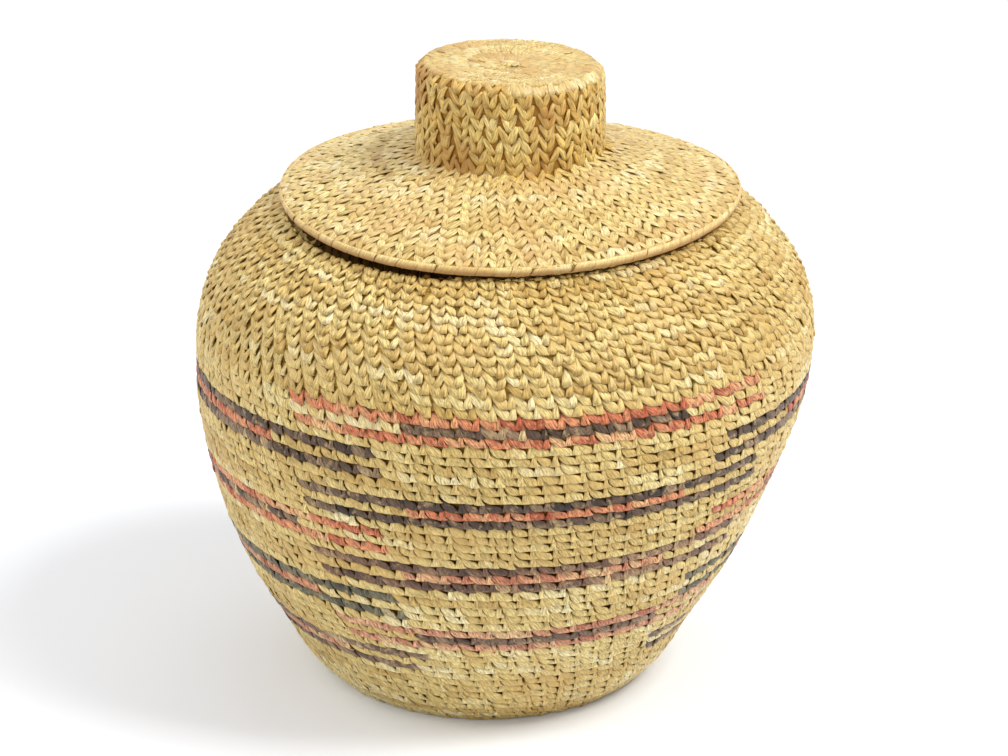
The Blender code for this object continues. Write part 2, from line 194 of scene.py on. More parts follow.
def vesselShift(x, y, height, turn):
    low, high = unevenness["shoulder"]
    shallow, deepest = unevenness["groove"]
    share = grooveSide(np.degrees(np.arctan2(x, -y)))
    groove = shallow + (deepest - shallow) * share
    groove = groove * np.interp(turn + unevenness["grooveEarlier"] * share, unevenness["grooveTurns"], (0, 1, 1, 0))
    return brimWave(x, y) * np.clip((turn - low) / (high - low), 0, 1) - groove


def lidShift(x, y, height, turn):
    share = np.clip((height - lidLine[3][2]) / lidSize["knobHeight"], 0, 1)
    tip = unevenness["knobTip"]
    return brimWave(x, y) + share * (tip[0] * (x - lidLean(0)) + tip[1] * y)


# A coil is a table of its outline by turns, with the outward direction at each
def makeCoil(outline, outward, direction, seam, first, last, lean, shift, thickness):
    turns = np.arange(first - 1, last + 1.51, 0.05)
    low = max(first, -vesselSize["baseRows"]) if outward > 0 else first

    def at(turn):
        return outline(max(low, min(turn, last + 1)))

    line = np.array([at(t) for t in turns])
    step = np.array([np.subtract(at(t + 1), at(t - 1)) for t in turns])
    length = np.hypot(step[:, 0], step[:, 1])
    pitch = np.array([math.dist(at(t + 0.5), at(t - 0.5)) for t in turns])
    return {
        "turns": turns,
        "radius": line[:, 0],
        "height": line[:, 1],
        "outRadius": outward * step[:, 1] / length,
        "outHeight": -outward * step[:, 0] / length,
        "pitch": pitch,
        "direction": direction,
        "seam": seam,
        "first": first,
        "last": last,
        "lean": lean,
        "shift": shift,
        "thickness": thickness,
    }


def onCoil(coil, turned, rows, out):
    # Points at this many degrees along the coil, so many rows up from the row's lower edge, this far proud
    turn = np.clip(turned / 360 + rows, coil["first"], coil["last"] + 0.15)
    radius = np.interp(turn, coil["turns"], coil["radius"]) + out * np.interp(turn, coil["turns"], coil["outRadius"])
    height = np.interp(turn, coil["turns"], coil["height"]) + out * np.interp(turn, coil["turns"], coil["outHeight"])
    around = coil["direction"] * np.radians(coil["seam"] + turned)
    x, y = coil["lean"](height) + radius * np.sin(around), -radius * np.cos(around)
    height = height + coil["shift"](x, y, height, turn)
    return np.stack([x, y, np.maximum(height, 0.02 * mm)], -1)


vesselCoil = makeCoil(vesselOutline, 1, 1, vesselSize["seam"], -15, 57, vesselLean, vesselShift, vesselSize["thickness"])

# The lid's outline follows from the mouth that it rests on
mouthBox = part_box("mouth_coil")
mouthRing = {
    "radius": (mouthBox[1].x - mouthBox[0].x) / 2 - vesselSize["mouthCoil"] * math.cos(math.pi / 8),
    "height": (mouthBox[1].z + mouthBox[0].z) / 2,
    "girth": vesselSize["mouthCoil"],
}
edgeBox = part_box("edge_coil")
edgeRing = {
    "radius": (edgeBox[1].x - edgeBox[0].x) / 2 - lidSize["edgeCoil"] * math.cos(math.pi / 8),
    "height": (edgeBox[1].z + edgeBox[0].z) / 2,
    "girth": lidSize["edgeCoil"],
}


def underside(radius):
    over = (vesselSize["mouthCoil"] + lidSize["seat"]) / math.cos(lidSize["slope"])
    return mouthRing["height"] + over + (mouthRing["radius"] - radius) * math.tan(lidSize["slope"])


def lidKnots():
    size = lidSize
    start = size["knobRadius"] + size["knobFlare"]
    end = mouthRing["radius"] + size["overhang"] - size["edgeCoil"] * (1 + math.cos(size["slope"])) + size["overEdge"]
    up = size["thickness"] / math.cos(size["slope"])
    foot = underside(start) + up
    top = foot + size["knobHeight"]
    pitch = (size["knobRadius"] - size["knobEdge"]) / (size["topRows"] + vesselSize["centreShare"])
    side = size["topRows"] + size["sideRows"]
    return (
        (0, vesselSize["centreShare"] * pitch, top - size["knobDish"]),
        (size["topRows"], size["knobRadius"] - size["knobEdge"], top),
        (size["topRows"] + 1, size["knobRadius"], top - size["knobEdge"]),
        (side, start, foot),
        (side + size["brimRows"] - 0.8, end, underside(end) + up),
        (side + size["brimRows"], end + size["fold"][0], underside(end) + up - size["fold"][1]),
    )


lidLine = lidKnots()


def lidOutline(turn):
    turns = [knot[0] for knot in lidLine]
    if turn > turns[-1]:
        (t0, r0, h0), (t1, r1, h1) = lidLine[-2:]
        return r1 + (turn - t1) * (r1 - r0) / (t1 - t0), h1 + (turn - t1) * (h1 - h0) / (t1 - t0)
    return [np.interp(turn, turns, [knot[k] for knot in lidLine]) for k in (1, 2)]


lidCoil = makeCoil(lidOutline, -1, -1, 0, 0, 30, lidLean, lidShift, lidSize["thickness"])
flangeRadius = mouthRing["radius"] - vesselSize["mouthCoil"] - lidSize["flangeClearance"]
flangeTop = underside(flangeRadius) - lidSize["seat"]


def flangeOutline(turn):
    return flangeRadius, flangeTop - lidSize["flangeHeight"] * turn / lidSize["flangeRows"]


flangeCoil = makeCoil(flangeOutline, -1, -1, 0, 0, 3, lidLean, lidShift, lidSize["flangeThickness"])
print("coils measured")


def modelStrip(name, steps):
    # A short flat strand with a low crown and rounded edges, as x along it from 0 to 1, y across and z up
    section = ((0.2, 1.0), (-0.2, 1.0), (-0.43, 0.88), (-0.5, 0.4), (0.0, -0.4), (0.5, 0.4), (0.43, 0.88))
    bpy.ops.object.select_all(action="DESELECT")
    bpy.ops.mesh.primitive_circle_add(vertices=7, radius=0.5, fill_type="NGON", rotation=(0, math.pi / 2, 0))
    strip = bpy.context.object
    strip.name = name
    bpy.ops.object.transform_apply(location=False, rotation=True, scale=False)
    bpy.ops.object.mode_set(mode="EDIT")
    bpy.ops.mesh.select_all(action="SELECT")
    for _ in range(steps):
        bpy.ops.mesh.extrude_region_move(TRANSFORM_OT_translate={"value": (1 / steps, 0, 0)})
    bpy.ops.mesh.select_all(action="SELECT")
    bpy.ops.mesh.normals_make_consistent(inside=False)
    bpy.ops.object.mode_set(mode="OBJECT")
    points = np.array([v.co for v in strip.data.vertices])
    around = np.rint(np.degrees(np.arctan2(points[:, 2], points[:, 1])) / (360 / 7)).astype(int) % 7
    shaped = np.array(section)[around]
    model = {
        "along": np.clip(points[:, 0], 0, 1),
        "across": shaped[:, 0],
        "up": shaped[:, 1],
        "crest": np.abs(np.abs(shaped[:, 0]) - 0.43) < 0.01,
        "sizes": np.array([len(face.vertices) for face in strip.data.polygons]),
        "corners": np.array([v for face in strip.data.polygons for v in face.vertices]),
    }
    bpy.data.objects.remove(strip)
    return model


stitchStrip = modelStrip("stitch", 5)
innerStrip = modelStrip("innerStitch", 3)
wrapStrip = modelStrip("wrap", 12)
print("strands modelled")


def placeStitches(coil, first, last, spacing, slant):
    # Each stitch grows from the one in the row before, a little further back, and a wide gap gets a new one
    def radiusAt(turned):
        return np.interp(turned / 360 + 0.5, coil["turns"], coil["radius"])

    turned = [first * 360.0]
    while turned[-1] < (first + 1) * 360:
        turned.append(turned[-1] + max(6, math.degrees(spacing / radiusAt(turned[-1]))) * chance.uniform(0.95, 1.05))
    parent = 0
    while turned[-1] < last * 360:
        here = turned[-1]
        target = math.degrees(spacing / radiusAt(here))
        back = np.interp(here / 360, *slant) * mm
        gap = turned[parent] + 360 - math.degrees(back / radiusAt(here)) - here
        if gap < 0.6 * target:
            parent += 1
        elif gap > 1.5 * target:
            turned.append(here + gap / 2 * chance.uniform(0.9, 1.1))
        else:
            turned.append(here + gap + 0.3 * (target - gap) + target * chance.uniform(-0.07, 0.07))
            parent += 1
    turned = np.array(turned)
    wide = np.radians(np.diff(turned)) * radiusAt(turned[:-1])
    return turned[:-1], wide


def strandTones(count, run):
    # The sewing grass is used up strand by strand, so neighbouring stitches share a tone
    tones = np.zeros(count)
    k = 0
    while k < count:
        length = int(chance.integers(run[0], run[1]))
        tones[k : k + length] = chance.uniform(0, 1)
        k += length
    return np.clip(0.6 * tones + 0.4 * chance.uniform(0, 1, count), 0, 1)


def layStrip(coil, places, wide, strip, style, tones, other=None, mix=None):
    # Lays one copy of the strip for each stitch. A style is a table from the strand's lower end to its upper
    # end: left edge and its row, right edge and its row, as shares of the stitch, and height in mm.
    count = len(places)
    table = np.broadcast_to(np.array(style["leg"])[None], (count, len(style["leg"]), 5))
    values = {key: np.full(count, float(style[key])) for key in ("thickness", "crown", "loose", "turn", "hidden", "tip")}
    if other is not None:
        share = mix[:, None, None]
        table = (1 - share) * table + share * np.array(other["leg"])[None]
        values = {key: (1 - mix) * style[key] + mix * other[key] for key in values}
    radius = np.interp(places / 360 + 0.5, coil["turns"], coil["radius"])[:, None]
    pitch = np.interp(places / 360 + 0.5, coil["turns"], coil["pitch"])[:, None]
    wide = wide[:, None]
    loose = values["loose"][:, None]
    left, leftRow, right, rightRow, height = np.moveaxis(table, 2, 0)
    stations = table.shape[1]
    bend = np.linspace(-1, 1, stations)[None]
    middle = (left + right) / 2 + chance.normal(0, 1, (count, 1)) * loose
    middle = middle + chance.normal(0, 0.7, (count, 1)) * loose * bend
    half = (right - left) / 2 * chance.normal(1, 0.07, (count, 1))
    drop = chance.normal(0, 1.2, (count, 1)) * loose * np.linspace(1, 0, stations)[None]
    k = np.rint(strip["along"] * (stations - 1)).astype(int)
    y = 2 * strip["across"][None]
    across = middle[:, k] + y * half[:, k]
    rows = (leftRow + rightRow)[:, k] / 2 + y * (rightRow - leftRow)[:, k] / 2 + drop[:, k]
    rows = rows - style["tongue"] * (k[None] == 0) * (1 - y**2)
    up = strip["up"][None] - values["crown"][:, None] * strip["crest"][None]
    thick = values["thickness"][:, None] * mm * chance.normal(1, 0.1, (count, 1))
    twist = (chance.normal(0, 1, (count, 1)) * values["turn"][:, None] + style.get("twist", 0)) * y * half[:, k] * wide
    out = height[:, k] * mm + chance.normal(0, 0.1 * mm, (count, 1)) + twist + (up - 1) * thick
    face = style.get("face", 1)
    turned = places[:, None] + np.degrees(across * wide / radius)
    points = onCoil(coil, turned, rows, out if face > 0 else -coil["thickness"] - out)
    # Painted shade: each strand darkens where it goes under the row above, at its lower end by the tip share, on its
    # underside and along its edges
    side = np.clip((rows - values["hidden"][:, None]) / 0.4, 0, 1)
    tip = values["tip"][:, None] * np.clip((0.1 - rows) / 0.5, 0, 1)
    attributes = {
        "tone": np.clip(tones[:, None] + chance.normal(0, 0.09, (count, 1)), 0, 1) + 0 * out,
        "paintedShade": np.clip(side + tip + 0.8 * (up < 0) + 0.35 * (np.abs(y) > 0.9), 0, 1),
        "level": places[:, None] / 360 + rows,
    }
    shift = chance.uniform(0, 60, (count, 1))
    streaks = np.stack([strip["along"][None] * 3.5 + shift, y * half[:, k] * wide / mm * 0.8 + 7 * shift], -1)
    return points, attributes, streaks


def joinStrips(name, strip, laid, material):
    # Makes one mesh of all the copies
    points = np.concatenate([part[0] for part in laid])
    count, each = points.shape[:2]
    mesh = bpy.data.meshes.new(name)
    corners = (strip["corners"][None, :] + each * np.arange(count)[:, None]).ravel()
    sizes = np.tile(strip["sizes"], count)
    mesh.vertices.add(count * each)
    mesh.vertices.foreach_set("co", points.reshape(-1).astype(np.float32))
    mesh.loops.add(len(corners))
    mesh.loops.foreach_set("vertex_index", corners.astype(np.int32))
    mesh.polygons.add(len(sizes))
    mesh.polygons.foreach_set("loop_start", np.concatenate([[0], np.cumsum(sizes)[:-1]]).astype(np.int32))
    mesh.update(calc_edges=True)
    for key in laid[0][1]:
        values = np.concatenate([part[1][key] for part in laid]).reshape(-1)
        mesh.attributes.new(key, "FLOAT", "POINT").data.foreach_set("value", values.astype(np.float32))
    streaks = np.concatenate([part[2] for part in laid]).reshape(-1, 2)
    layer = mesh.uv_layers.new(name="strand")
    layer.data.foreach_set("uv", streaks[corners].reshape(-1).astype(np.float32))
    mesh.shade_smooth()
    piece = bpy.data.objects.new(name, mesh)
    bpy.context.scene.collection.objects.link(piece)
    mesh.materials.append(material)
    faceOut(piece)
    return piece


def faceOut(piece):
    # Turns the faces over if the copies came out inside out
    mesh = piece.data
    mesh.calc_loop_triangles()
    points = np.zeros(len(mesh.vertices) * 3, np.float32)
    mesh.vertices.foreach_get("co", points)
    corners = np.zeros(len(mesh.loop_triangles) * 3, np.int32)
    mesh.loop_triangles.foreach_get("vertices", corners)
    triangles = points.reshape(-1, 3)[corners.reshape(-1, 3)].astype(float)
    if np.einsum("ij,ij->i", triangles[:, 0], np.cross(triangles[:, 1], triangles[:, 2])).sum() < 0:
        mesh.flip_normals()


def foundation(name, coil, first, last, columns, levels, depth, material, shadedTurns=()):
    # The closed shell of bundled grass under the stitches, with a rounded row on both faces
    top = (last - first) * levels
    column, level = np.meshgrid(np.arange(columns), np.arange(top + 1), indexing="ij")
    turned = 360 * (first + column / columns)
    turn = np.minimum(first + column / columns + level / levels, last)
    rounding = np.abs(2 * (level % levels) / levels - 1) ** 2
    outside = onCoil(coil, turned, turn - turned / 360, -depth - 0.5 * mm * rounding)
    inside = onCoil(coil, turned, turn - turned / 360, -coil["thickness"] + 1.0 * mm * rounding)
    count = outside.shape[0] * outside.shape[1]
    points = np.concatenate([outside.reshape(-1, 3), inside.reshape(-1, 3)])
    index = np.arange(count).reshape(columns, top + 1)
    faces = []

    def at(c, l):
        if c == columns:
            c, l = 0, l + levels
        return int(index[c, min(l, top)])

    def keep(face):
        seen = [v for k, v in enumerate(face) if v != face[k - 1]]
        if len(seen) > 2:
            faces.append(seen)

    for c in range(columns):
        for l in range(top):
            ring = [at(c, l), at(c + 1, l), at(c + 1, l + 1), at(c, l + 1)]
            keep(ring)
            keep([v + count for v in reversed(ring)])
        end = at(c, top), at(c + 1, top)
        keep([end[0], end[1], end[1] + count, end[0] + count])
    start = [at(c, 0) for c in range(columns)] + [at(0, l) for l in range(levels, 0, -1)]
    if outside[0, 0, 0] ** 2 + outside[0, 0, 1] ** 2 < (12 * mm) ** 2:
        faces.append(list(reversed(start)))
        faces.append([v + count for v in start])
    else:
        for k in range(len(start)):
            a, b = start[k], start[(k + 1) % len(start)]
            keep([b, a, a + count, b + count])
    mesh = bpy.data.meshes.new(name)
    mesh.from_pydata(points.tolist(), [], faces)
    mesh.validate()
    # Between the shaded turns the bundle gets painted shade, where it shows between the stitches
    paintedShade = np.interp(turn, shadedTurns, (0, 1, 1, 0)) if shadedTurns else 0 * turn
    mesh.attributes.new("paintedShade", "FLOAT", "POINT").data.foreach_set("value", np.tile(paintedShade.reshape(-1), 2).astype(np.float32))
    streaks = np.stack([(turned * 0.35).reshape(-1), (turn * 3.0).reshape(-1)], -1)
    streaks = np.concatenate([streaks, streaks])
    layer = mesh.uv_layers.new(name="strand")
    corners = np.zeros(len(mesh.loops), np.int32)
    mesh.loops.foreach_get("vertex_index", corners)
    layer.data.foreach_set("uv", streaks[corners].reshape(-1).astype(np.float32))
    mesh.shade_smooth()
    piece = bpy.data.objects.new(name, mesh)
    bpy.context.scene.collection.objects.link(piece)
    mesh.materials.append(material)
    bpy.ops.object.select_all(action="DESELECT")
    bpy.context.view_layer.objects.active = piece
    piece.select_set(True)
    bpy.ops.object.mode_set(mode="EDIT")
    bpy.ops.mesh.select_all(action="SELECT")
    bpy.ops.mesh.remove_doubles(threshold=0.00002)
    bpy.ops.mesh.normals_make_consistent(inside=False)
    bpy.ops.object.mode_set(mode="OBJECT")
    faceOut(piece)
    return piece


def layWraps(ring, shift, style, tones):
    # Wide strands wound round a ring of coil, each a little over the one before
    count = len(tones)
    spots = np.sort((np.arange(count) + chance.uniform(-0.2, 0.2, count)) * 360 / count)
    wide = np.append(np.diff(spots), spots[0] + 360 - spots[-1])[:, None]
    x, y, z = wrapStrip["along"][None], wrapStrip["across"][None], wrapStrip["up"][None]
    section = math.radians(style["from"]) + x * math.radians(style["round"])
    slant = style["slant"] + chance.normal(0, 0.12, (count, 1))
    around = np.radians(spots[:, None] + wide * (0.5 + y * style["width"] + slant * (x - 0.5)))
    thick = style["thickness"] * mm
    swell = chance.normal(0, 0.04 * mm, (count, 1))
    lap = style["lap"] * mm * y
    reach = np.interp(np.degrees(section), *zip(*style["profile"])) * mm if "profile" in style else ring["girth"]
    out = reach + style["proud"] * mm + swell + lap + (z - 1) * thick
    radius = ring["radius"] + out * np.cos(section)
    height = ring["height"] + out * np.sin(section)
    px, py = lidLean(0) + radius * np.sin(around), -radius * np.cos(around)
    height = height + shift(px, py, height, 57 + 0 * height)
    # Painted shade on the lower half of the ring's section and along the wraps' sides
    attributes = {
        "tone": np.broadcast_to(tones[:, None], out.shape),
        "paintedShade": np.clip(0.8 * np.clip(0.85 - section / 0.6, 0, 1) + 0.25 * (z < 0.5), 0, 1) + 0 * tones[:, None],
        "level": around / (2 * math.pi),
    }
    drift = chance.uniform(0, 60, (count, 1))
    streaks = np.stack([x * 5 + drift, y * 5 + 7 * drift], -1)
    return np.stack([px, py, height], -1), attributes, streaks


def ringCore(name, ring, shift, material):
    # The round bundle inside a wrapped ring
    bpy.ops.object.select_all(action="DESELECT")
    bpy.ops.mesh.primitive_torus_add(
        major_segments=120,
        minor_segments=10,
        major_radius=ring["radius"],
        minor_radius=ring["girth"] - 0.35 * mm,
        location=(float(lidLean(0)), 0, ring["height"]),
    )
    core = bpy.context.object
    core.name = name
    bpy.ops.object.transform_apply(location=True, rotation=True, scale=True)
    for v in core.data.vertices:
        v.co.z += float(shift(v.co.x, v.co.y, v.co.z, 57))
    core.data.uv_layers[0].name = "strand"
    core.data.materials.append(material)
    bpy.ops.object.shade_smooth()
    return core


def node(tree, kind, **settings):
    made = tree.nodes.new(kind)
    for key, value in settings.items():
        if key in ("operation", "blend_type", "data_type", "attribute_name", "noise_dimensions", "uv_map"):
            setattr(made, key, value)
        else:
            made.inputs[key.replace("_", " ")].default_value = value
    return made


def colourRamp(tree, stops):
    ramp = tree.nodes.new("ShaderNodeValToRGB")
    while len(ramp.color_ramp.elements) < len(stops):
        ramp.color_ramp.elements.new(0.5)
    for element, (place, colour) in zip(ramp.color_ramp.elements, stops):
        element.position = place
        element.color = (*colour, 1)
    return ramp


def grassMaterial(name, look):
    # Dry grass: a tone for each strand, fine streaks along it, stained patches, painted shade in the hollows, soft
    # gloss
    material = bpy.data.materials.new(name)
    material.use_nodes = True
    tree = material.node_tree
    shader = tree.nodes["Principled BSDF"]
    link = tree.links.new
    tone = node(tree, "ShaderNodeAttribute", attribute_name="tone")
    ramp = colourRamp(tree, look["tones"])
    link(tone.outputs["Fac"], ramp.inputs["Fac"])
    strand = node(tree, "ShaderNodeUVMap", uv_map="strand")
    stretch = tree.nodes.new("ShaderNodeMapping")
    stretch.inputs["Scale"].default_value = look.get("streak", (0.35, 1.3, 1))
    link(strand.outputs["UV"], stretch.inputs["Vector"])
    streaks = node(tree, "ShaderNodeTexNoise", noise_dimensions="2D", Scale=1.6, Detail=3, Roughness=0.65)
    link(stretch.outputs["Vector"], streaks.inputs["Vector"])
    place = tree.nodes.new("ShaderNodeTexCoord")
    patches = node(tree, "ShaderNodeTexNoise", Scale=look["patchScale"], Detail=4, Roughness=0.6)
    link(place.outputs["Object"], patches.inputs["Vector"])
    depth = look["streakDepth"]
    shade = node(tree, "ShaderNodeMapRange", From_Min=0.3, From_Max=0.7, To_Min=1 - depth, To_Max=1 + 0.35 * depth)
    link(streaks.outputs["Fac"], shade.inputs["Value"])
    lit = node(tree, "ShaderNodeVectorMath", operation="MULTIPLY")
    link(ramp.outputs["Color"], lit.inputs[0])
    link(shade.outputs["Result"], lit.inputs[1])
    low, high = look["patchFrom"]
    patchShare = node(tree, "ShaderNodeMapRange", From_Min=low, From_Max=high, To_Min=0, To_Max=look["patchShare"])
    link(patches.outputs["Fac"], patchShare.inputs["Value"])
    aged = node(tree, "ShaderNodeMix", data_type="RGBA", blend_type="MIX")
    link(patchShare.outputs["Result"], aged.inputs["Factor"])
    link(lit.outputs["Vector"], aged.inputs["A"])
    aged.inputs["B"].default_value = (*look["patch"], 1)
    paintedShade = node(tree, "ShaderNodeAttribute", attribute_name="paintedShade")
    shadeTint = node(tree, "ShaderNodeMath", operation="MULTIPLY")
    shadeTint.inputs[1].default_value = look["shadeTintShare"]
    link(paintedShade.outputs["Fac"], shadeTint.inputs[0])
    shadeTinted = node(tree, "ShaderNodeMix", data_type="RGBA", blend_type="MIX")
    link(shadeTint.outputs["Value"], shadeTinted.inputs["Factor"])
    link(aged.outputs["Result"], shadeTinted.inputs["A"])
    shadeTinted.inputs["B"].default_value = (*look["shadeTint"], 1)
    link(shadeTinted.outputs["Result"], shader.inputs["Base Color"])
    gloss = node(tree, "ShaderNodeMapRange", From_Min=0.3, From_Max=0.7, To_Min=look["gloss"], To_Max=look["gloss"] + 0.2)
    link(streaks.outputs["Fac"], gloss.inputs["Value"])
    link(gloss.outputs["Result"], shader.inputs["Roughness"])
    # Where shade is painted in hollows and on strand sides they are dull, so the painted shade keeps its colour
    shine = node(tree, "ShaderNodeMapRange", From_Min=0, From_Max=1, To_Min=look["shine"], To_Max=0.04)
    link(paintedShade.outputs["Fac"], shine.inputs["Value"])
    link(shine.outputs["Result"], shader.inputs["Specular IOR Level"])
    bump = node(tree, "ShaderNodeBump", Strength=0.8, Distance=0.18 * mm)
    link(streaks.outputs["Fac"], bump.inputs["Height"])
    link(bump.outputs["Normal"], shader.inputs["Normal"])
    return material


# In each look the shade tint, by its share, is the colour of the painted shade in hollows, undersides and strand sides
wallLook = {
    "tones": ((0, (0.56, 0.355, 0.09)), (0.3, (0.69, 0.48, 0.15)), (0.7, (0.82, 0.625, 0.235)), (1, (0.93, 0.80, 0.44))),
    "patch": (0.60, 0.39, 0.12),
    "patchScale": 40,
    "patchFrom": (0.46, 0.70),
    "patchShare": 0.55,
    "streakDepth": 0.62,
    "shadeTint": (0.19, 0.082, 0.006),
    "shadeTintShare": 0.55,
    "gloss": 0.34,
    "shine": 0.5,
}
# The rows that the brim covers get near-black tones: a painted shadow under the brim
underBrimShadowLook = {
    **wallLook,
    "tones": ((0, (0.05, 0.024, 0.006)), (1, (0.13, 0.068, 0.018))),
    "patch": (0.03, 0.014, 0.004),
    "gloss": 0.55,
    "shine": 0.06,
}
lidLook = {
    **wallLook,
    "tones": ((0, (0.56, 0.37, 0.11)), (0.3, (0.72, 0.52, 0.18)), (0.7, (0.82, 0.64, 0.26)), (1, (0.90, 0.76, 0.41))),
    "patch": (0.58, 0.36, 0.15),
    "patchFrom": (0.44, 0.66),
    "patchShare": 0.5,
    "shadeTint": (0.30, 0.15, 0.03),
}
crownLook = {
    **lidLook,
    "tones": ((0, (0.50, 0.32, 0.09)), (0.3, (0.66, 0.46, 0.15)), (0.7, (0.75, 0.57, 0.22)), (1, (0.84, 0.69, 0.34))),
    "patch": (0.50, 0.29, 0.09),
    "patchScale": 75,
    "patchFrom": (0.46, 0.64),
    "patchShare": 0.65,
}
knobLook = {
    **lidLook,
    "tones": ((0, (0.52, 0.30, 0.055)), (0.3, (0.66, 0.42, 0.10)), (0.7, (0.78, 0.56, 0.17)), (1, (0.86, 0.66, 0.25))),
    "patch": (0.38, 0.165, 0.025),
    "patchScale": 34,
    "patchFrom": (0.48, 0.64),
    "patchShare": 0.75,
    "shadeTint": (0.27, 0.12, 0.02),
    "shadeTintShare": 0.85,
}
# The edge wraps take the painted shade colour in full, on the lower half of the ring
edgeLook = {
    **wallLook,
    "tones": ((0, (0.66, 0.42, 0.13)), (0.4, (0.77, 0.54, 0.19)), (0.8, (0.87, 0.66, 0.27)), (1, (0.93, 0.78, 0.38))),
    "patch": (0.50, 0.30, 0.13),
    "patchShare": 0.4,
    "shadeTint": (0.40, 0.215, 0.085),
    "shadeTintShare": 1.0,
    "streakDepth": 0.4,
    "streak": (0.3, 1.6, 1),
}
# The bundles' shade tint paints the dark shade in the gaps between the stitches
lidBundleLook = {
    **wallLook,
    "tones": ((0, (0.52, 0.34, 0.10)), (1, (0.60, 0.41, 0.14))),
    "patch": (0.40, 0.24, 0.07),
    "patchShare": 0.6,
    "shadeTint": (0.30, 0.135, 0.02),
    "shadeTintShare": 0.9,
    "gloss": 0.5,
    "shine": 0.1,
}
bundleLook = {
    **wallLook,
    "tones": ((0, (0.56, 0.35, 0.07)), (1, (0.68, 0.46, 0.11))),
    "patch": (0.32, 0.17, 0.03),
    "patchShare": 0.5,
    "shadeTint": (0.095, 0.038, 0.005),
    "shadeTintShare": 0.95,
    "gloss": 0.55,
    "shine": 0.1,
}
dyedLook = {
    "patch": (0.66, 0.46, 0.22),
    "patchScale": 330,
    "patchFrom": (0.56, 0.68),
    "patchShare": 0.5,
    "streakDepth": 0.8,
    "shadeTint": (0.025, 0.010, 0.004),
    "shadeTintShare": 0.85,
    "shine": 0.35,
}
dyes = {
    "red": ((0, (0.48, 0.10, 0.04)), (0.4, (0.74, 0.24, 0.105)), (0.78, (0.86, 0.42, 0.19)), (1, (0.90, 0.62, 0.29))),
    "coral": ((0, (0.46, 0.125, 0.055)), (0.4, (0.66, 0.245, 0.125)), (0.8, (0.79, 0.40, 0.20)), (1, (0.84, 0.58, 0.27))),
    "rose": ((0, (0.50, 0.16, 0.085)), (0.4, (0.70, 0.30, 0.17)), (0.75, (0.82, 0.47, 0.25)), (1, (0.86, 0.62, 0.29))),
    "charcoal": ((0, (0.035, 0.020, 0.012)), (0.45, (0.135, 0.080, 0.047)), (0.80, (0.33, 0.21, 0.115)), (1, (0.76, 0.54, 0.25))),
    "plum": ((0, (0.09, 0.042, 0.023)), (0.45, (0.23, 0.118, 0.066)), (0.80, (0.44, 0.265, 0.14)), (1, (0.80, 0.56, 0.26))),
    "moss": ((0, (0.055, 0.050, 0.028)), (0.45, (0.155, 0.14, 0.08)), (0.82, (0.32, 0.27, 0.155)), (1, (0.74, 0.56, 0.28))),
    "umber": ((0, (0.10, 0.055, 0.032)), (0.45, (0.24, 0.145, 0.088)), (0.82, (0.46, 0.31, 0.19)), (1, (0.80, 0.60, 0.30))),
}
wallGrass = grassMaterial("wallGrass", wallLook)
underBrimShadowGrass = grassMaterial("underBrimShadowGrass", underBrimShadowLook)
lidGrass = grassMaterial("lidGrass", lidLook)
crownGrass = grassMaterial("crownGrass", crownLook)
knobGrass = grassMaterial("knobGrass", knobLook)
edgeGrass = grassMaterial("edgeGrass", edgeLook)
bundleGrass = grassMaterial("bundleGrass", bundleLook)
lidBundleGrass = grassMaterial("lidBundleGrass", lidBundleLook)
dyedGrass = {
    colour: grassMaterial(f"{colour}Grass", {**wallLook, "tones": stops, **dyedLook})
    for colour, stops in dyes.items()
}

# A split stitch is two legs side by side. Each line: left edge, its row, right edge, its row, height in mm
wallLeft = {
    "leg": (
        (0.30, -0.14, 0.84, -0.16, 0.28),
        (0.16, 0.08, 0.82, 0.06, 0.42),
        (0.04, 0.32, 0.78, 0.30, 0.36),
        (-0.02, 0.56, 0.70, 0.52, 0.20),
        (-0.05, 0.82, 0.44, 0.70, -0.05),
        (-0.06, 1.14, 0.20, 1.02, -0.55),
    ),
    "thickness": 0.8,
    "crown": 0.0,
    "loose": 0.03,
    "tongue": 0.02,
    "turn": 0.07,
    "hidden": 0.7,
    "tip": 0.0,
}
wallRight = {
    **wallLeft,
    "leg": (
        (0.68, -0.17, 1.28, -0.13, 0.36),
        (0.72, 0.08, 1.15, 0.10, 0.46),
        (0.76, 0.34, 1.05, 0.36, 0.40),
        (0.78, 0.62, 1.01, 0.64, 0.22),
        (0.79, 0.90, 1.00, 0.92, -0.05),
        (0.80, 1.18, 0.99, 1.18, -0.60),
    ),
}
shoulderLeft = {
    "leg": (
        (0.40, -0.46, 0.78, -0.52, 0.28),
        (0.28, -0.28, 0.75, -0.24, 0.50),
        (0.12, -0.02, 0.70, 0.10, 0.44),
        (-0.02, 0.24, 0.58, 0.44, 0.12),
        (-0.16, 0.52, 0.38, 0.82, -0.22),
        (-0.28, 0.88, 0.14, 1.18, -0.6),
    ),
    "thickness": 0.95,
    "crown": 0.06,
    "loose": 0.07,
    "tongue": 0.06,
    "turn": 0.12,
    "hidden": 0.85,
    "tip": 0.15,
}
shoulderRight = {
    **shoulderLeft,
    "leg": (
        (0.61, -0.58, 0.98, -0.54, 0.70),
        (0.57, -0.34, 1.03, -0.30, 1.22),
        (0.61, 0.02, 1.04, 0.02, 0.92),
        (0.65, 0.38, 1.03, 0.38, 0.34),
        (0.70, 0.78, 0.99, 0.80, -0.20),
        (0.76, 1.14, 0.95, 1.16, -0.6),
    ),
    "thickness": 1.25,
    "crown": 0.26,
    "tongue": 0.10,
    "tip": 0.6,
}
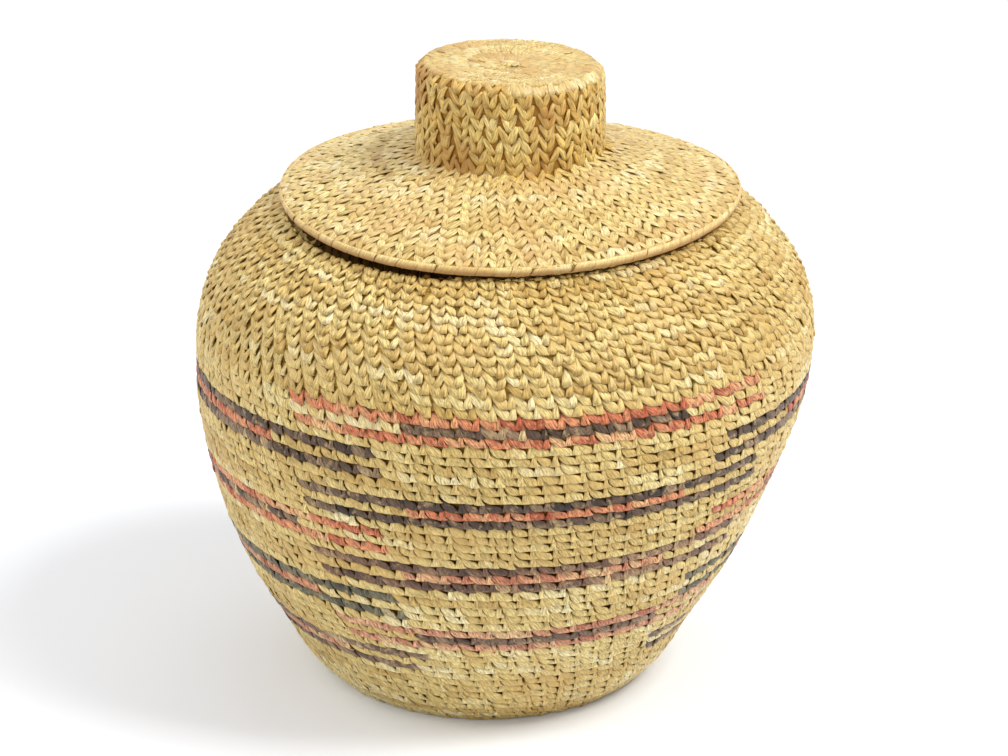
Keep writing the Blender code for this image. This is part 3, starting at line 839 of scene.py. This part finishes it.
knobLeft = {
    "leg": (
        (0.48, -0.18, 0.74, -0.22, -0.30),
        (0.51, 0.08, 0.88, 0.02, 0.16),
        (0.57, 0.44, 0.98, 0.34, 0.42),
        (0.64, 0.80, 1.08, 0.72, 0.56),
        (0.72, 1.08, 1.16, 1.02, 0.44),
        (0.84, 1.34, 1.10, 1.36, -0.5),
    ),
    "thickness": 1.0,
    "crown": 0.16,
    "loose": 0.09,
    "tongue": 0.08,
    "turn": 0.12,
    "hidden": 1.0,
    "tip": 0.0,
}
knobRight = {
    **knobLeft,
    "leg": (
        (0.40, -0.22, 0.64, -0.18, -0.35),
        (0.24, 0.00, 0.60, 0.10, 0.12),
        (0.08, 0.34, 0.48, 0.48, 0.36),
        (-0.04, 0.70, 0.37, 0.84, 0.46),
        (-0.14, 1.00, 0.26, 1.12, 0.34),
        (-0.10, 1.32, 0.12, 1.36, -0.5),
    ),
}
brimLeft = {
    "leg": (
        (0.42, -0.30, 0.68, -0.26, -0.20),
        (0.44, -0.02, 0.86, 0.00, 0.08),
        (0.48, 0.34, 0.96, 0.38, 0.26),
        (0.55, 0.68, 1.04, 0.74, 0.32),
        (0.64, 0.98, 1.10, 1.06, 0.20),
        (0.76, 1.26, 1.08, 1.32, -0.3),
    ),
    "thickness": 0.55,
    "crown": 0.0,
    "loose": 0.035,
    "tongue": 0.05,
    "turn": 0.045,
    "hidden": 0.8,
    "tip": 0.0,
    "twist": -0.07,
}
brimRight = {
    **brimLeft,
    "leg": (
        (0.32, -0.26, 0.58, -0.30, -0.24),
        (0.14, 0.00, 0.56, -0.02, 0.04),
        (0.04, 0.38, 0.52, 0.34, 0.20),
        (-0.04, 0.74, 0.44, 0.68, 0.26),
        (-0.10, 1.06, 0.34, 0.98, 0.14),
        (-0.08, 1.32, 0.23, 1.26, -0.32),
    ),
    "twist": 0.07,
}
topLeft = {
    "leg": (
        (0.36, -0.30, 0.76, -0.26, -0.15),
        (0.38, 0.00, 0.98, 0.02, 0.05),
        (0.40, 0.36, 1.12, 0.40, 0.15),
        (0.44, 0.70, 1.16, 0.78, 0.18),
        (0.50, 1.00, 1.16, 1.10, 0.10),
        (0.60, 1.26, 1.12, 1.34, -0.15),
    ),
    "thickness": 0.5,
    "crown": 0.0,
    "loose": 0.03,
    "tongue": 0.05,
    "turn": 0.03,
    "hidden": 0.9,
    "tip": 0.0,
    "twist": -0.02,
}
topRight = {
    **topLeft,
    "leg": (
        (0.24, -0.26, 0.64, -0.30, -0.18),
        (0.02, 0.02, 0.62, 0.00, 0.02),
        (-0.12, 0.40, 0.60, 0.36, 0.12),
        (-0.16, 0.78, 0.56, 0.70, 0.15),
        (-0.16, 1.10, 0.50, 1.00, 0.08),
        (-0.12, 1.34, 0.40, 1.26, -0.18),
    ),
    "twist": 0.02,
}
innerLeg = {
    "leg": (
        (0.00, -0.14, 0.46, -0.14, -0.6),
        (0.02, 0.28, 0.78, 0.28, 0.0),
        (0.20, 0.72, 0.98, 0.72, 0.0),
        (0.55, 1.14, 0.95, 1.14, -0.6),
    ),
    "thickness": 0.6,
    "crown": 0.05,
    "loose": 0.035,
    "tongue": 0.0,
    "turn": 0.1,
    "hidden": 0.9,
    "tip": 0.0,
    "face": -1,
}
stitching = {"spacing": 6.4 * mm, "slant": ((30, 44), (0.7, 1.25)), "topSpacing": 4.6 * mm, "brimSpacing": 5.8 * mm, "mixFrom": (37, 45)}

dyedBlocks = {
    "outerHalf": 47,
    "middleHalf": 26,
    "drift": 2.0,
    "outerWidening": 0.7,
    "middleWidening": 0.4,
    "sides": (("front", 6, 0), ("right", 89, -5), ("back", 188, -1), ("left", -72, -4)),
    "rows": {"band1": 40, "band2": 31, "band3": 23, "band4": 15},
    "upright": {"band1": ("red", "charcoal"), "band2": ("charcoal", "red"), "band3": ("plum", "coral"), "band4": ("rose", "umber")},
    "sideways": {"band1": ("charcoal", "red"), "band2": ("red", "charcoal"), "band3": ("moss", "coral"), "band4": ("umber", "rose")},
}


def dyedRuns():
    runs = []
    blocks = dyedBlocks
    for side, middle, offset in blocks["sides"]:
        colours = blocks["upright"] if side in ("front", "back") else blocks["sideways"]
        for level, (band, row) in enumerate(blocks["rows"].items()):
            outer, inner = colours[band]
            drift = blocks["drift"] * (40 - row - offset) / (25 / 3)
            for k, (part, half, wider, colour) in enumerate((
                ("upper", blocks["outerHalf"], blocks["outerWidening"], outer),
                ("middle", blocks["middleHalf"], blocks["middleWidening"], inner),
                ("lower", blocks["outerHalf"], blocks["outerWidening"], outer),
            )):
                grown = half + wider * level
                start = 360 * (row + offset - k) + middle + drift - vesselSize["seam"]
                runs.append((f"{band}_{side}_{part}", start - grown, start + grown, colour))
    return runs


def chosen(laid, mask):
    return laid[0][mask], {key: value[mask] for key, value in laid[1].items()}, laid[2][mask]


def centreKnot(name, coil, material):
    # A few strands crossed over the coil's start
    count = 5
    strip, tones = stitchStrip, chance.uniform(0.2, 0.9, count)
    middle = onCoil(coil, 0, coil["first"], 0.5 * mm) * (0, 0, 1) + (coil["lean"](coil["height"][0]), 0, 0)
    x, y = strip["along"][None] - 0.5, strip["across"][None]
    around = np.radians(np.arange(count)[:, None] * 180 / count + chance.uniform(-10, 10, (count, 1)))
    length, width = 7.5 * mm, 3.2 * mm * (1 - 2.2 * x**2)
    along, across = x * length, y * width + 0.9 * mm * (x**2 - 0.1)
    facing = np.sign(coil["outHeight"][30])
    out = -2.4 * x**2 * mm + 0.05 * mm * np.arange(count)[:, None] + strip["up"][None] * 0.45 * mm
    points = middle + np.stack([
        along * np.cos(around) - across * np.sin(around),
        along * np.sin(around) + across * np.cos(around),
        facing * out,
    ], -1)
    attributes = {"tone": tones[:, None] + 0 * out, "paintedShade": 0 * out, "level": 0 * out}
    streaks = np.stack([x * 3.5 + 9 * tones[:, None], y * 1.8 + 31 * tones[:, None]], -1)
    return joinStrips(name, strip, [(points, attributes, streaks)], material)


def finish(piece, body, slot, *nodes):
    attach(piece, body)
    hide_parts(*nodes)


places, wide = placeStitches(vesselCoil, -15, 57, stitching["spacing"], stitching["slant"])
middles = places + np.degrees(0.5 * wide / np.interp(places / 360, vesselCoil["turns"], vesselCoil["radius"]))
dyedAt = {name: ((middles >= start) & (middles <= end), colour) for name, start, end, colour in dyedRuns()}
anyDyed = np.any([mask for mask, _ in dyedAt.values()], axis=0)
tones = strandTones(len(places), (5, 16))
tones = np.where(anyDyed, 0.3 * tones + 0.7 * chance.beta(1.3, 1.5, len(places)), tones)
mix = np.clip(np.interp(places / 360, stitching["mixFrom"], (0, 1)) + chance.normal(0, 0.12, len(places)), -0.15, 1.15)
legs = [
    layStrip(vesselCoil, places, wide, stitchStrip, first, tones, second, mix)
    for first, second in ((wallLeft, shoulderLeft), (wallRight, shoulderRight))
]
print(len(places), "stitches on the vessel")
for name, (dyed, colour) in dyedAt.items():
    piece = joinStrips(f"{name}_stitches", stitchStrip, [chosen(leg, dyed) for leg in legs], dyedGrass[colour])
    finish(piece, "vessel", f"{colour}_strand", f"{name}_strand")

# The stitches that start inside the groove under the brim, which get the painted shadow
covered = places / 360 > unevenness["grooveTurns"][0] + 0.45 - unevenness["grooveEarlier"] * grooveSide(places + vesselSize["seam"])
vesselParts = {
    "base_stitches": (-15, 0, "base_coil"),
    "lower_wall_stitches": (0, 16, "lower_wall_coil"),
    "belly_stitches": (16, 32, "belly_coil"),
    "lower_shoulder_stitches": (32, 39.5, "shoulder_coil"),
    "middle_shoulder_stitches": (39.5, 47, "shoulder_coil"),
    "upper_shoulder_stitches": (47, 57, "shoulder_coil"),
}
for name, (low, high, replaced) in vesselParts.items():
    mask = ~anyDyed & (places >= 360 * low) & (places < 360 * high)
    piece = joinStrips(name, stitchStrip, [chosen(leg, mask & ~covered) for leg in legs], wallGrass)
    finish(piece, "vessel", "wall_grass", replaced)
piece = joinStrips("covered_shoulder_stitches", stitchStrip, [chosen(leg, covered) for leg in legs], underBrimShadowGrass)
finish(piece, "vessel", "wall_grass", "shoulder_coil")
inner = layStrip(vesselCoil, places, wide, innerStrip, innerLeg, tones)
for name, low, high in (("base", -15, 0), ("lower_wall", 0, 16), ("belly", 16, 32), ("shoulder", 32, 57)):
    mask = (places >= 360 * low) & (places < 360 * high)
    piece = joinStrips(f"{name}_inner_stitches", innerStrip, [chosen(inner, mask)], wallGrass)
    finish(piece, "vessel", "wall_grass", f"{name}_coil")
piece = centreKnot("base_knot", vesselCoil, wallGrass)
finish(piece, "vessel", "wall_grass", "base_coil")
bundle = foundation("vessel_foundation", vesselCoil, -15, 57, 96, 3, 0.65 * mm, bundleGrass, (-16, -15.5, 36, 42))
finish(bundle, "vessel", "wall_grass", "base_coil", "lower_wall_coil", "belly_coil", "shoulder_coil")

mouthWrap = {"from": -150, "round": 300, "slant": 0.35, "width": 1.04, "thickness": 0.35, "proud": 0.0, "lap": 0.16}
mouthTones = strandTones(74, (3, 9))
piece = joinStrips("mouth_wraps", wrapStrip, [layWraps(mouthRing, vesselShift, mouthWrap, mouthTones)], wallGrass)
finish(piece, "vessel", "wall_grass", "mouth_coil")
core = ringCore("mouth_bundle", mouthRing, vesselShift, bundleGrass)
finish(core, "vessel", "wall_grass", "mouth_coil")
print("vessel done")

lidParts = {
    "knob_top": (0, 9, stitching["topSpacing"], (topLeft, topRight), crownGrass),
    "knob_side": (9, 17, stitching["spacing"], (knobLeft, knobRight), knobGrass),
    "brim": (17, 30, stitching["brimSpacing"], (brimLeft, brimRight), lidGrass),
}
for name, (low, high, spacing, styles, grass) in lidParts.items():
    spots, span = placeStitches(lidCoil, low, high, spacing, ((0, 30), (0.5, 0.5)))
    shades = strandTones(len(spots), (4, 12))
    pair = [layStrip(lidCoil, spots, span, stitchStrip, style, shades) for style in styles]
    piece = joinStrips(f"{name}_stitches", stitchStrip, pair, grass)
    finish(piece, "lid", "lid_grass", f"{name}_coil")
    inner = layStrip(lidCoil, spots, span, innerStrip, innerLeg, shades)
    piece = joinStrips(f"{name}_inner_stitches", innerStrip, [inner], lidGrass)
    finish(piece, "lid", "lid_grass", f"{name}_coil")
piece = centreKnot("knob_knot", lidCoil, crownGrass)
finish(piece, "lid", "lid_grass", "knob_top_coil")
bundle = foundation("lid_foundation", lidCoil, 0, 30, 72, 3, 0.4 * mm, lidBundleGrass, (9, 9.5, 17.2, 18))
finish(bundle, "lid", "lid_grass", "knob_top_coil", "knob_side_coil", "brim_coil")

edgeWrap = {
    "from": -165,
    "round": 215,
    "slant": 0.5,
    "width": 1.05,
    "thickness": 0.3,
    "proud": 0.05,
    "lap": 0.06,
    # Degrees round the section, and how far the wraps lie from its middle in mm
    "profile": (
        (-165, 1.9), (-90, 1.75), (-60, 1.85), (-30, 2.05), (0, 2.15), (30, 2.25), (60, 2.35), (90, 2.4), (110, 2.4),
    ),
}
edgeTones = strandTones(74, (3, 10))
piece = joinStrips("edge_wraps", wrapStrip, [layWraps(edgeRing, lidShift, edgeWrap, edgeTones)], edgeGrass)
finish(piece, "lid", "edge_grass", "edge_coil")
core = ringCore("edge_bundle", edgeRing, lidShift, bundleGrass)
finish(core, "lid", "edge_grass", "edge_coil")

spots, span = placeStitches(flangeCoil, 0, 3, stitching["spacing"], ((0, 3), (0.5, 0.5)))
shades = strandTones(len(spots), (4, 12))
laid = [layStrip(flangeCoil, spots, span, stitchStrip, leg, shades) for leg in (brimLeft, brimRight)]
piece = joinStrips("flange_stitches", stitchStrip, laid, lidGrass)
finish(piece, "lid", "lid_grass", "flange_coil")
inner = layStrip(flangeCoil, spots, span, innerStrip, innerLeg, shades)
piece = joinStrips("flange_inner_stitches", innerStrip, [inner], lidGrass)
finish(piece, "lid", "lid_grass", "flange_coil")
bundle = foundation("flange_foundation", flangeCoil, 0, 3, 72, 3, 0.6 * mm, lidBundleGrass)
finish(bundle, "lid", "lid_grass", "flange_coil")
print("lid done")

# Camera, floor and light
shot = {"aim": (-0.11 * mm, 0, 107.7 * mm), "distance": 1.436, "elevation": math.radians(21.5), "lens": 142.86}
camera = bpy.data.objects.new("camera", bpy.data.cameras.new("camera"))
bpy.context.scene.collection.objects.link(camera)
camera.location = (
    shot["aim"][0],
    shot["aim"][1] - shot["distance"] * math.cos(shot["elevation"]),
    shot["aim"][2] + shot["distance"] * math.sin(shot["elevation"]),
)
camera.rotation_euler = (math.pi / 2 - shot["elevation"], 0, 0)
camera.data.lens = shot["lens"]
camera.data.sensor_width = 36
camera.data.clip_end = 20
bpy.context.scene.camera = camera

bpy.ops.object.select_all(action="DESELECT")
bpy.ops.mesh.primitive_plane_add(size=12)
floor = bpy.context.object
floor.name = "floor"


def seenRay(tree):
    # 1 where the camera, a reflection or a view through glass looks straight at the surface
    path = tree.nodes.new("ShaderNodeLightPath")
    first = node(tree, "ShaderNodeMath", operation="MAXIMUM")
    tree.links.new(path.outputs["Is Camera Ray"], first.inputs[0])
    tree.links.new(path.outputs["Is Glossy Ray"], first.inputs[1])
    second = node(tree, "ShaderNodeMath", operation="MAXIMUM")
    tree.links.new(first.outputs["Value"], second.inputs[0])
    tree.links.new(path.outputs["Is Transmission Ray"], second.inputs[1])
    return second.outputs["Value"]


paper = bpy.data.materials.new("floorPaper")
paper.use_nodes = True
paper.node_tree.nodes["Principled BSDF"].inputs["Base Color"].default_value = (0.92, 0.94, 0.97, 1)
paper.node_tree.nodes["Principled BSDF"].inputs["Roughness"].default_value = 0.9
glow = node(paper.node_tree, "ShaderNodeEmission", Strength=1)
spread = node(paper.node_tree, "ShaderNodeVectorMath", operation="LENGTH")
spot = paper.node_tree.nodes.new("ShaderNodeTexCoord")
paper.node_tree.links.new(spot.outputs["Object"], spread.inputs[0])
far = node(paper.node_tree, "ShaderNodeMapRange", From_Min=0.2, From_Max=1.6, To_Min=0.1, To_Max=1)
paper.node_tree.links.new(spread.outputs["Value"], far.inputs["Value"])
seen = node(paper.node_tree, "ShaderNodeMath", operation="MULTIPLY")
mixed = paper.node_tree.nodes.new("ShaderNodeMixShader")
paper.node_tree.links.new(seenRay(paper.node_tree), seen.inputs[0])
paper.node_tree.links.new(far.outputs["Result"], seen.inputs[1])
paper.node_tree.links.new(seen.outputs["Value"], mixed.inputs["Fac"])
paper.node_tree.links.new(paper.node_tree.nodes["Principled BSDF"].outputs["BSDF"], mixed.inputs[1])
paper.node_tree.links.new(glow.outputs["Emission"], mixed.inputs[2])
paper.node_tree.links.new(mixed.outputs["Shader"], paper.node_tree.nodes["Material Output"].inputs["Surface"])
floor.data.materials.append(paper)

lamps = {
    "key": ((1.15, -0.4, 1.7), 0.75, 35),
    "fill": ((-1.5, -0.55, 1.85), 1.4, 23),
    "top": ((0.0, 0.7, 1.9), 1.2, 3),
}
for name, (spot, size, power) in lamps.items():
    lamp = bpy.data.objects.new(name, bpy.data.lights.new(name, "AREA"))
    bpy.context.scene.collection.objects.link(lamp)
    lamp.location = spot
    lamp.data.size = size
    lamp.data.energy = power
    toward = np.array((0, 0, 0.1)) - np.array(spot)
    lamp.rotation_euler = (math.acos(-toward[2] / np.linalg.norm(toward)), 0, math.atan2(toward[1], toward[0]) - math.pi / 2)
world = bpy.data.worlds.new("world")
bpy.context.scene.world = world
world.use_nodes = True
sky = world.node_tree.nodes["Background"]
sky.inputs["Color"].default_value = (1, 1, 1, 1)
level = node(world.node_tree, "ShaderNodeMapRange", From_Min=0, From_Max=1, To_Min=0.55, To_Max=1)
world.node_tree.links.new(seenRay(world.node_tree), level.inputs["Value"])
world.node_tree.links.new(level.outputs["Result"], sky.inputs["Strength"])
bpy.context.scene.view_settings.view_transform = "Standard"

counts = {}
for made in bpy.context.scene.objects:
    if made.type == "MESH" and made.data.attributes.get("tone"):
        made.data.calc_loop_triangles()
        counts[made.name] = len(made.data.loop_triangles)
print(sum(counts.values()), "triangles in the stitches, at most", max(counts.values()), max(counts, key=counts.get))
